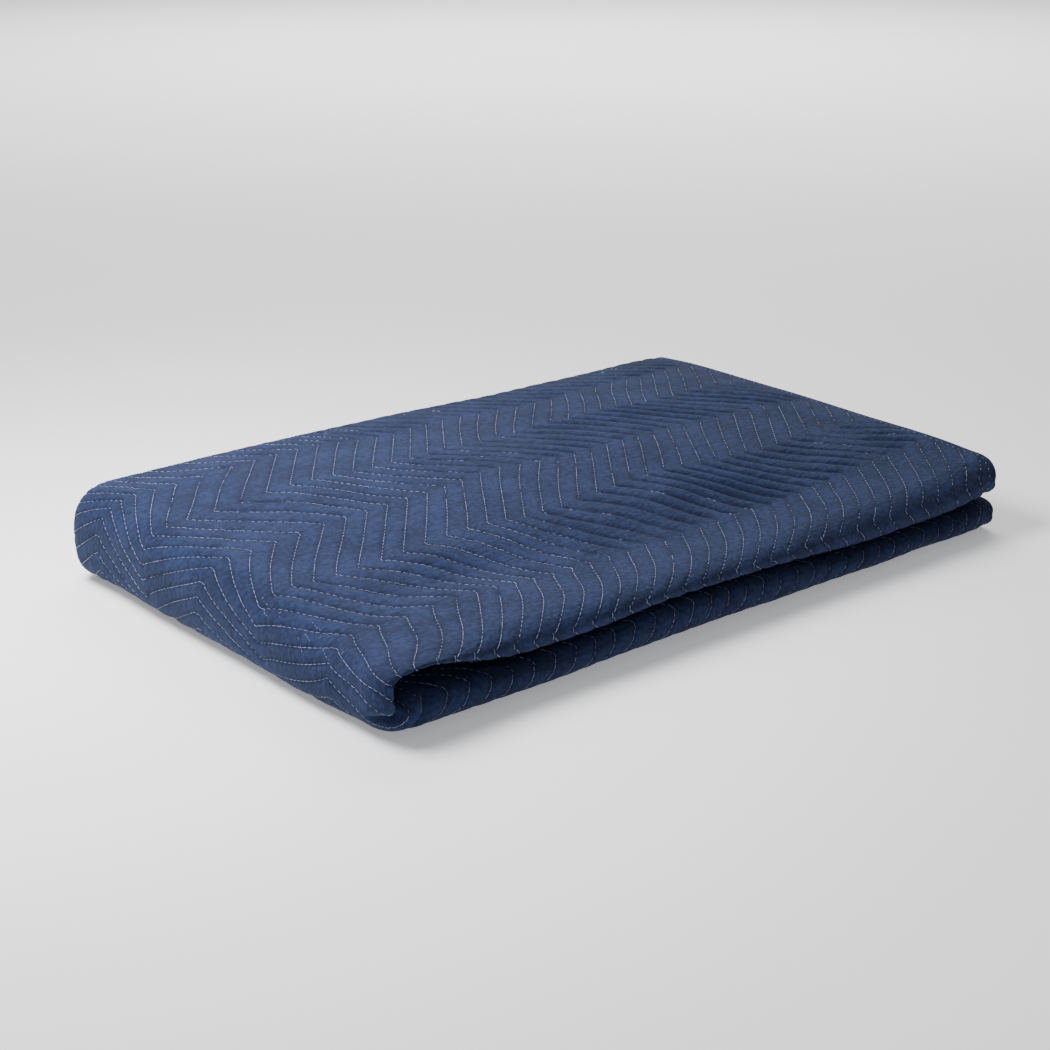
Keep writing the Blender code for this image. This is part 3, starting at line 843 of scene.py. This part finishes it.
all_points = np.concatenate([shown_points.reshape(-1, 3), hidden_points.reshape(-1, 3)])
blanket = mesh_object("blanket_cover", all_points, faces)
seam_run_values = np.concatenate([along_grid.ravel() * SEAM_SLANT, section[hidden_row.ravel(), 0]])
seam_values = np.concatenate([
    seam_number(travel_grid.ravel(), along_grid.ravel()),
    hidden_travel.ravel() / SEAM_PITCH,
])
add_seam_map(blanket, seam_run_values, seam_values)
drop_unused_points(blanket)
blanket.data.shade_smooth()

# %% [markdown]
# One helper for nodes.
#
# Shader trees and geometry trees are built the same way: a node, its settings, and what feeds
# each of its inputs, which is either a plain value or another node's output.

# %% Node and colour helpers
def add_node(tree, kind, feeds=None, **settings):
    """One node with its settings, and a value or a link for each input that is named."""
    node = tree.nodes.new(kind)
    for name, value in settings.items():
        setattr(node, name, value)
    for key, source in (feeds or {}).items():
        if isinstance(source, bpy.types.NodeSocket):
            tree.links.new(source, node.inputs[key])
        else:
            node.inputs[key].default_value = source
    return node


def linear(hex_colour):
    """Linear colour with alpha from an sRGB hex value."""
    parts = [int(hex_colour[k:k + 2], 16) / 255.0 for k in (1, 3, 5)]
    return tuple(p / 12.92 if p <= 0.04045 else ((p + 0.055) / 1.055) ** 2.4 for p in parts) + (1.0,)


print("navy in linear values:", [round(v, 3) for v in linear("#37466b")[:3]])

# %% [markdown]
# The woven cover.
#
# The cover of a moving blanket is a cheap polyester and cotton cloth, brushed a little, so it
# is fully matt with a faint bloom of fibres at grazing angles. Its navy is uneven: paler in
# random patches and specks where it has been rubbed, and darker toward each seam, which is
# painted shade in the creases. Fine wrinkles run across each channel, gathered by the seam.
# The weave itself is finer than a picture point, so it is drawn at about twice its real spacing.

# %% Cover material
MM = 0.001
# The darkest navy is painted shade, mixed in toward the crease at each seam.
NAVY_PAINTED_CREASE_SHADE = "#0c1123"
NAVY = "#19223c"
NAVY_RUBBED = "#253153"
WEAVE_MM = 1.6
FIBRE_MM = 5.0
WRINKLE_MM = 4.0
MOTTLE_MM = 45.0
COVER_ROUGHNESS = 0.92
BLOOM = "#9fb0d8"
BLOOM_WEIGHT = 0.05
BLOOM_ROUGHNESS = 0.60
COVER_SPECULAR = 0.17
WRINKLE_SPREAD = 0.9
WRINKLE_SKIP = 7.31
WRINKLE_LEAST = 0.35
CREASE_SHADE_FROM = 0.55
CREASE_SHADE_SHARE = 0.55
MOTTLE_RANGE = (0.35, 0.68)
MOTTLE_SHARE = (0.10, 0.75)
SPECKLE_RANGE = (0.36, 0.64)
SPECKLE_SHARE = 0.55
WRINKLE_RISE_MM = 1.50
FIBRE_RISE_MM = 0.95
WEAVE_RISE_MM = 0.40


def woven_cover():
    """Brushed navy cotton and polyester cloth, wrinkled across the channels."""
    material = bpy.data.materials.new("brushed_navy_cotton_cover")
    material.use_nodes = True
    tree = material.node_tree
    shader = tree.nodes["Principled BSDF"]
    shader.inputs["Roughness"].default_value = COVER_ROUGHNESS
    shader.inputs["Sheen Weight"].default_value = BLOOM_WEIGHT
    shader.inputs["Sheen Roughness"].default_value = BLOOM_ROUGHNESS
    shader.inputs["Sheen Tint"].default_value = linear(BLOOM)
    shader.inputs["Specular IOR Level"].default_value = COVER_SPECULAR
    seams = add_node(tree, "ShaderNodeUVMap", uv_map="seams").outputs["UV"]
    split = add_node(tree, "ShaderNodeSeparateXYZ", {"Vector": seams})
    place_mm = add_node(tree, "ShaderNodeTexCoord").outputs["Object"]
    number = split.outputs["Y"]
    whole = add_node(tree, "ShaderNodeMath", {0: number}, operation="FLOOR").outputs[0]
    share = add_node(tree, "ShaderNodeMath", {0: number, 1: whole}, operation="SUBTRACT").outputs[0]
    centred = add_node(tree, "ShaderNodeMath", {0: share, 1: 0.5}, operation="SUBTRACT").outputs[0]
    aside = add_node(tree, "ShaderNodeMath", {0: centred}, operation="ABSOLUTE").outputs[0]
    near_seam = add_node(tree, "ShaderNodeMath", {0: aside, 1: 2.0}, operation="MULTIPLY").outputs[0]
    run = add_node(tree, "ShaderNodeMath", {0: split.outputs["X"], 1: 1.0 / (WRINKLE_MM * MM)},
                   operation="MULTIPLY").outputs[0]
    side = add_node(tree, "ShaderNodeMath",
                    {0: near_seam, 1: WRINKLE_SPREAD}, operation="MULTIPLY").outputs[0]
    own = add_node(tree, "ShaderNodeMath", {0: whole, 1: WRINKLE_SKIP}, operation="MULTIPLY").outputs[0]
    wrinkle_at = add_node(tree, "ShaderNodeCombineXYZ", {"X": run, "Y": side, "Z": own}).outputs[0]
    wrinkles = add_node(tree, "ShaderNodeTexNoise", {"Vector": wrinkle_at, "Scale": 1.0, "Detail": 2.0})
    weight = add_node(tree, "ShaderNodeMapRange",
                      {"Value": near_seam, "To Min": WRINKLE_LEAST, "To Max": 1.0}).outputs[0]
    wrinkle = add_node(tree, "ShaderNodeMath",
                       {0: wrinkles.outputs[0], 1: weight}, operation="MULTIPLY").outputs[0]
    weave = add_node(tree, "ShaderNodeTexNoise",
                     {"Vector": place_mm, "Scale": 1.0 / (WEAVE_MM * MM), "Detail": 1.0}).outputs[0]
    fibres = add_node(tree, "ShaderNodeTexNoise", {
        "Vector": place_mm, "Scale": 1.0 / (FIBRE_MM * MM), "Detail": 4.0, "Roughness": 0.65,
    }).outputs[0]
    mottle = add_node(tree, "ShaderNodeTexNoise",
                      {"Vector": place_mm, "Scale": 1.0 / (MOTTLE_MM * MM), "Detail": 3.0}).outputs[0]
    # Painted shade: toward each seam the navy is mixed with a darker navy, shade painted into the creases.
    depth = add_node(tree, "ShaderNodeMapRange", {
        "Value": near_seam, "From Min": CREASE_SHADE_FROM, "From Max": 1.0, "To Min": 0.0, "To Max": CREASE_SHADE_SHARE,
    }).outputs[0]
    patch = add_node(tree, "ShaderNodeMapRange", {
        "Value": mottle, "From Min": MOTTLE_RANGE[0], "From Max": MOTTLE_RANGE[1],
        "To Min": MOTTLE_SHARE[0], "To Max": MOTTLE_SHARE[1],
    }).outputs[0]
    speckle = add_node(tree, "ShaderNodeMapRange", {
        "Value": fibres, "From Min": SPECKLE_RANGE[0], "From Max": SPECKLE_RANGE[1],
        "To Min": -SPECKLE_SHARE, "To Max": SPECKLE_SHARE,
    }).outputs[0]
    rubbed = add_node(tree, "ShaderNodeMath",
                      {0: patch, 1: speckle}, operation="ADD", use_clamp=True).outputs[0]
    base = add_node(tree, "ShaderNodeMix", {0: rubbed, 6: linear(NAVY), 7: linear(NAVY_RUBBED)},
                    data_type="RGBA").outputs[2]
    colour = add_node(tree, "ShaderNodeMix", {0: depth, 6: base, 7: linear(NAVY_PAINTED_CREASE_SHADE)},
                      data_type="RGBA").outputs[2]
    tree.links.new(colour, shader.inputs["Base Color"])
    gathered = add_node(tree, "ShaderNodeBump", {
        "Height": wrinkle, "Distance": WRINKLE_RISE_MM * MM, "Strength": 1.0,
    }).outputs[0]
    matted = add_node(tree, "ShaderNodeBump", {
        "Height": fibres, "Distance": FIBRE_RISE_MM * MM, "Strength": 1.0, "Normal": gathered,
    }).outputs[0]
    cloth = add_node(tree, "ShaderNodeBump", {
        "Height": weave, "Distance": WEAVE_RISE_MM * MM, "Strength": 1.0, "Normal": matted,
    }).outputs[0]
    tree.links.new(cloth, shader.inputs["Normal"])
    return material


COVER = woven_cover()
blanket.data.materials.append(COVER)
print("cover material:", COVER.name)

# %% [markdown]
# Thread.
#
# The seams are lock stitches in a pale polyester thread. Each stitch lies on the cloth for
# about five millimetres and dips into it at both ends, so a seam reads as a row of short
# dashes in a crease. On the right half of the top it sinks out of sight between the high
# channels, and shows only where it is taut. There are thousands of stitches, so Geometry
# Nodes lay one small stitch again and again along guide lines: the lines carry the cloth's
# outward direction, which turns each stitch so that its ends point into the cloth.

# %% Thread material
THREAD = "#8690b6"
THREAD_SHADE = "#5c678f"
THREAD_ROUGHNESS = 0.55
SOIL_MM = 9.0
SOIL_RANGE = (0.35, 0.65)


def polyester_thread():
    """Pale twisted sewing thread: a faint gloss, and a little darker where it is soiled."""
    material = bpy.data.materials.new("pale_polyester_thread")
    material.use_nodes = True
    tree = material.node_tree
    shader = tree.nodes["Principled BSDF"]
    shader.inputs["Roughness"].default_value = THREAD_ROUGHNESS
    place_mm = add_node(tree, "ShaderNodeTexCoord").outputs["Object"]
    soil = add_node(tree, "ShaderNodeTexNoise",
                    {"Vector": place_mm, "Scale": 1.0 / (SOIL_MM * MM), "Detail": 2.0}).outputs[0]
    spread = add_node(tree, "ShaderNodeMapRange",
                      {"Value": soil, "From Min": SOIL_RANGE[0], "From Max": SOIL_RANGE[1]}).outputs[0]
    colour = add_node(tree, "ShaderNodeMix", {0: spread, 6: linear(THREAD_SHADE), 7: linear(THREAD)},
                      data_type="RGBA").outputs[2]
    tree.links.new(colour, shader.inputs["Base Color"])
    return material


THREAD_FINISH = polyester_thread()
print("thread material:", THREAD_FINISH.name)

# %% Stitches along guide lines
STITCH_PITCH = 0.0066
STITCH_LENGTH = 0.0058
STITCH_RISE = 0.0010
STITCH_DIP = 0.0006
THREAD_RADIUS = 0.00030
THREAD_LIFT_LEFT = 0.00030
THREAD_LIFT_RIGHT = 0.00010
THREAD_LIFT_SUNK = -0.00120
THREAD_LIFT_TAUT = 0.00180
TAUT_LENGTH = 0.014
LIFT_FROM = 0.34
LIFT_TO = 0.66
THREAD_SIDES = 5
STITCH_STEPS = 3
STITCH_SIZE_LEAST = (0.86, 0.80, 0.70)
STITCH_SIZE_MOST = (1.06, 1.15, 1.15)
THREAD_SEED = 4
TAUT_SEED = 23
TAUT_SKIP = 1.7
BACK_MARGIN = 0.004
HEM_CLEAR = 1.15


def stitch_tree():
    """Lays one stitch again and again along the edges of a guide mesh."""
    tree = bpy.data.node_groups.new("stitches_along_guides", "GeometryNodeTree")
    sockets = tree.interface
    sockets.new_socket("Guides", in_out="INPUT", socket_type="NodeSocketGeometry")
    for name in ("Pitch", "Length", "Rise", "Dip", "Thread Radius"):
        sockets.new_socket(name, in_out="INPUT", socket_type="NodeSocketFloat")
    sockets.new_socket("Seed", in_out="INPUT", socket_type="NodeSocketInt")
    sockets.new_socket("Finish", in_out="INPUT", socket_type="NodeSocketMaterial")
    sockets.new_socket("Stitches", in_out="OUTPUT", socket_type="NodeSocketGeometry")
    given = add_node(tree, "NodeGroupInput").outputs
    lines = add_node(tree, "GeometryNodeMeshToCurve", {"Mesh": given["Guides"]}).outputs["Curve"]
    spaced = add_node(tree, "GeometryNodeResampleCurve",
                      {"Curve": lines, "Length": given["Pitch"]}, mode="LENGTH")
    along = add_node(tree, "GeometryNodeInputTangent").outputs[0]
    outward = add_node(tree, "GeometryNodeInputNamedAttribute", {"Name": "outward"}, data_type="FLOAT_VECTOR")
    turned = add_node(tree, "FunctionNodeAlignRotationToVector", {"Vector": along}, axis="X").outputs[0]
    upright = add_node(tree, "FunctionNodeAlignRotationToVector", {
        "Rotation": turned, "Vector": outward.outputs["Attribute"],
    }, axis="Z", pivot_axis="X").outputs[0]
    half = add_node(tree, "ShaderNodeMath", {0: given["Length"], 1: 0.5}, operation="MULTIPLY").outputs[0]
    other_half = add_node(tree, "ShaderNodeMath", {0: half, 1: -1.0}, operation="MULTIPLY").outputs[0]
    dip = add_node(tree, "ShaderNodeMath", {0: given["Dip"], 1: -1.0}, operation="MULTIPLY").outputs[0]
    start = add_node(tree, "ShaderNodeCombineXYZ", {"X": other_half, "Z": dip}).outputs[0]
    middle = add_node(tree, "ShaderNodeCombineXYZ", {"Z": given["Rise"]}).outputs[0]
    end = add_node(tree, "ShaderNodeCombineXYZ", {"X": half, "Z": dip}).outputs[0]
    arc = add_node(tree, "GeometryNodeCurveQuadraticBezier",
                   {"Resolution": STITCH_STEPS, "Start": start, "Middle": middle, "End": end}).outputs[0]
    ring = add_node(tree, "GeometryNodeCurvePrimitiveCircle",
                    {"Resolution": THREAD_SIDES, "Radius": given["Thread Radius"]}, mode="RADIUS").outputs[0]
    stitch = add_node(tree, "GeometryNodeCurveToMesh",
                      {"Curve": arc, "Profile Curve": ring, "Fill Caps": True}).outputs[0]
    size = add_node(tree, "FunctionNodeRandomValue", {
        0: STITCH_SIZE_LEAST, 1: STITCH_SIZE_MOST, "Seed": given["Seed"],
    }, data_type="FLOAT_VECTOR")
    laid = add_node(tree, "GeometryNodeInstanceOnPoints", {
        "Points": spaced.outputs[0], "Instance": stitch, "Rotation": upright, "Scale": size.outputs[0],
    }).outputs[0]
    real = add_node(tree, "GeometryNodeRealizeInstances", {"Geometry": laid}).outputs[0]
    finished = add_node(tree, "GeometryNodeSetMaterial",
                        {"Geometry": real, "Material": given["Finish"]}).outputs[0]
    add_node(tree, "NodeGroupOutput", {"Stitches": finished})
    return tree


STITCHES = stitch_tree()
print("nodes in the stitch tree:", len(STITCHES.nodes))


# %% Guide lines of the seams
def thread_lift(travel, row, seam):
    """How far the thread lies above its crease: it sinks out of sight in the steep ones."""
    to_left = smooth_step(LIFT_FROM, LIFT_TO, travel)
    taut = np.maximum(soft_noise(row / TAUT_LENGTH, TAUT_SKIP * seam, TAUT_SEED), 0.0)
    sunk = THREAD_LIFT_SUNK + THREAD_LIFT_TAUT * taut
    leaning = leaning_leg(row)
    right = THREAD_LIFT_RIGHT + (sunk - THREAD_LIFT_RIGHT) * leaning
    return right + (THREAD_LIFT_LEFT - right) * to_left


def seam_guides(name, first_seam, last_seam):
    """Guide lines of a run of quilting seams, from just inside the slot to the back fold."""
    points = []
    outward = []
    edges = []
    lines = ALONG[(ALONG > SLOT_EDGE + EDGE_FADE) & (ALONG < BACK_EDGE - BACK_MARGIN)]
    for seam in range(first_seam, last_seam):
        ruled = (seam + 0.5) * SEAM_PITCH + zig(lines)
        travel = travel_at(ruled + wander(travel_at(ruled, lines), lines), lines)
        inside = (travel > HEM_CLEAR * HEM_WIDTH) & (travel < TRAVEL - HEM_CLEAR * HEM_WIDTH)
        if inside.sum() < 2:
            continue
        lift = thread_lift(travel[inside], lines[inside], seam)
        place_now, normal_now = cover_place(travel[inside], lines[inside], lift)
        start = len(points)
        points += list(place_now)
        outward += list(normal_now)
        numbers = np.nonzero(inside)[0]
        for k in range(len(numbers) - 1):
            if numbers[k + 1] == numbers[k] + 1:
                edges.append((start + k, start + k + 1))
    return guide_object(name, points, outward, edges)


def guide_object(name, points, outward, edges):
    """A mesh of edges that carries the cloth's outward direction at each point."""
    guide = mesh_object(name, points, [], edges)
    attribute = guide.data.attributes.new("outward", "FLOAT_VECTOR", "POINT")
    attribute.data.foreach_set("vector", np.array(outward, dtype=np.float32).ravel())
    return guide


def sew(name, guide, pitch=STITCH_PITCH, length=STITCH_LENGTH, radius=THREAD_RADIUS):
    """Runs the stitch tree on a guide, and keeps the result as a plain mesh at the origin."""
    modifier = guide.modifiers.new("stitches", "NODES")
    modifier.node_group = STITCHES
    values = {
        "Pitch": pitch, "Length": length, "Rise": STITCH_RISE, "Dip": STITCH_DIP,
        "Thread Radius": radius, "Seed": THREAD_SEED, "Finish": THREAD_FINISH,
    }
    for item in STITCHES.interface.items_tree:
        if item.in_out == "INPUT" and item.name in values:
            modifier[item.identifier] = values[item.name]
    bpy.context.view_layer.update()
    graph = bpy.context.evaluated_depsgraph_get()
    mesh = bpy.data.meshes.new_from_object(guide.evaluated_get(graph), depsgraph=graph)
    guide.modifiers.remove(modifier)
    bpy.data.objects.remove(guide, do_unlink=True)
    mesh.name = name
    mesh.materials.clear()
    mesh.materials.append(THREAD_FINISH)
    mesh.polygons.foreach_set("material_index", [0] * len(mesh.polygons))
    mesh.shade_smooth()
    thread = bpy.data.objects.new(name, mesh)
    bpy.context.scene.collection.objects.link(thread)
    print(name, "faces:", len(mesh.polygons))
    return thread


# The zig-zag brings in a few seams from beyond both ends
FIRST_SEAM = -2
LAST_SEAM = int(TRAVEL / SEAM_PITCH) + 5
UPPER_SEAMS = int(RUN / SEAM_PITCH)
thread_upper = sew("thread_upper", seam_guides("guides_upper", FIRST_SEAM, UPPER_SEAMS))
thread_lower = sew("thread_lower", seam_guides("guides_lower", UPPER_SEAMS, LAST_SEAM))


# %% Hem stitching
HEM_LINES_UPPER = (0.0125,)
HEM_LINES_LOWER = (0.0085, 0.0135)
HEM_STITCH_PITCH = 0.0080
HEM_STITCH_LENGTH = 0.0042
HEM_STRAY = 0.0022
HEM_STRAY_LENGTH = 0.024
HEM_LIFT = -0.00015
HEM_SEED = 21
HEM_SKIP = 3.0


def hem_guides():
    """Uneven lines of stitches along both hemmed ends."""
    points = []
    outward = []
    edges = []
    lines = ALONG[(ALONG > SLOT_EDGE + EDGE_FADE) & (ALONG < BACK_EDGE - BACK_MARGIN)]
    for side, insets in enumerate((HEM_LINES_UPPER, HEM_LINES_LOWER)):
        for k, inset in enumerate(insets):
            stray = HEM_STRAY * soft_noise(lines / HEM_STRAY_LENGTH, HEM_SKIP * k + side, HEM_SEED)
            travel = inset + stray if side == 0 else TRAVEL - inset - stray
            place_now, normal_now = cover_place(travel, lines, HEM_LIFT)
            start = len(points)
            points += list(place_now)
            outward += list(normal_now)
            edges += [(start + n, start + n + 1) for n in range(len(lines) - 1)]
    return guide_object("guides_hem", points, outward, edges)


thread_hem = sew("thread_hem", hem_guides(), HEM_STITCH_PITCH, HEM_STITCH_LENGTH)


# %% Thread ends
THREAD_ENDS = (
    # travel, row, step in travel, step in row
    (0.847, 0.196, 0.003, -0.009),
    (0.856, 0.185, 0.003, -0.006),
    (0.850, 0.167, 0.009, -0.007),
    (0.850, 0.136, 0.006, -0.012),
    (0.861, 0.135, 0.009, -0.007),
    (0.840, 0.133, 0.001, -0.010),
    (0.848, 0.116, -0.007, -0.002),
    (0.858, 0.105, 0.007, -0.011),
    (0.850, 0.083, -0.014, -0.004),
)
END_STITCH_PITCH = 0.0038
END_STITCH_LENGTH = 0.0044
END_RADIUS = 0.00020
END_LIFT = -0.00010
END_SHARES = np.array([0.0, 0.5, 1.0])
END_BOW = np.array([0.0, 0.0008, 0.0])


def end_guides():
    """Short strokes where thread was started or cut, near the front of the fold across."""
    points = []
    outward = []
    edges = []
    for travel, row, travel_step, row_step in THREAD_ENDS:
        travels = travel + travel_step * END_SHARES + END_BOW
        place_now, normal_now = cover_place(travels, row + row_step * END_SHARES, END_LIFT)
        start = len(points)
        points += list(place_now)
        outward += list(normal_now)
        edges += [(start, start + 1), (start + 1, start + 2)]
    return guide_object("guides_ends", points, outward, edges)


thread_ends = sew("thread_ends", end_guides(), END_STITCH_PITCH, END_STITCH_LENGTH, END_RADIUS)

# %% [markdown]
# What rides on what.
#
# A blanket has no joints, so everything rides on the one body. The cover stands for the
# plain solid, which is hidden.

THREADS = [thread_upper, thread_lower, thread_hem, thread_ends]
for piece in [blanket] + THREADS:
    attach(piece, "root")
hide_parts("blanket")

# %% [markdown]
# Floor and light.
#
# The photograph is a cut-out on white. A wide pale floor gives the same quiet ground, and it
# glows faintly, as a studio sweep does that is lit from below. One lamp over the left end
# brightens that end and rakes along the channels, a weak one low at the front reaches into
# the slot, a far one lights the floor behind, and a soft sky fills the rest.

# %% Floor and lights
FLOOR_HALF = 30.0
FLOOR_COLOUR = "#f7f7f7"
FLOOR_COLOUR_PALER = "#fbfbfb"
FLOOR_GLOW = 0.30
FLOOR_ROUGHNESS = 0.9
SKY_COLOUR = "#f6f8ff"
SKY_STRENGTH = 0.22
LAMPS = (
    # name, place, what it points at, size, power
    ("lamp_over_left_end", (-0.64, 0.30, 1.00), (-0.2, 0.0, 0.0), 0.6, 29.0),
    ("lamp_far_back", (3.6, 4.2, 3.2), (3.2, 3.7, 0.0), 5.0, 420.0),
    ("lamp_low_front", (-0.1, -2.4, 0.32), (-0.1, 0.0, 0.0), 1.0, 4.0),
)


def add_floor():
    """A wide pale floor just under the blanket."""
    h = FLOOR_HALF
    corners = [(-h, -h, 0.0), (h, -h, 0.0), (h, h, 0.0), (-h, h, 0.0)]
    floor = mesh_object("pale_floor", corners, [(0, 1, 2, 3)])
    material = bpy.data.materials.new("pale_painted_floor")
    material.use_nodes = True
    tree = material.node_tree
    place_now = add_node(tree, "ShaderNodeTexCoord").outputs["Object"]
    grain = add_node(tree, "ShaderNodeTexNoise", {"Vector": place_now, "Scale": 3.0}).outputs[0]
    tone = add_node(tree, "ShaderNodeMix", {0: grain, 6: linear(FLOOR_COLOUR), 7: linear(FLOOR_COLOUR_PALER)},
                    data_type="RGBA").outputs[2]
    shader = tree.nodes["Principled BSDF"]
    tree.links.new(tone, shader.inputs["Base Color"])
    shader.inputs["Roughness"].default_value = FLOOR_ROUGHNESS
    shader.inputs["Emission Color"].default_value = linear("#ffffff")
    shader.inputs["Emission Strength"].default_value = FLOOR_GLOW
    floor.data.materials.append(material)
    return floor


def add_lamp(name, place_now, aim, size, power):
    """A square soft lamp that points at a place."""
    light = bpy.data.lights.new(name, "AREA")
    light.size = size
    light.energy = power
    lamp = bpy.data.objects.new(name, light)
    bpy.context.scene.collection.objects.link(lamp)
    lamp.location = place_now
    lamp.rotation_euler = (Vector(place_now) - Vector(aim)).to_track_quat("Z", "Y").to_euler()
    return lamp


add_floor()
for lamp_row in LAMPS:
    add_lamp(*lamp_row)
sky = bpy.data.worlds.new("soft_sky")
sky.use_nodes = True
sky.node_tree.nodes["Background"].inputs["Color"].default_value = linear(SKY_COLOUR)
sky.node_tree.nodes["Background"].inputs["Strength"].default_value = SKY_STRENGTH
bpy.context.scene.world = sky
print("lamps:", len(LAMPS))
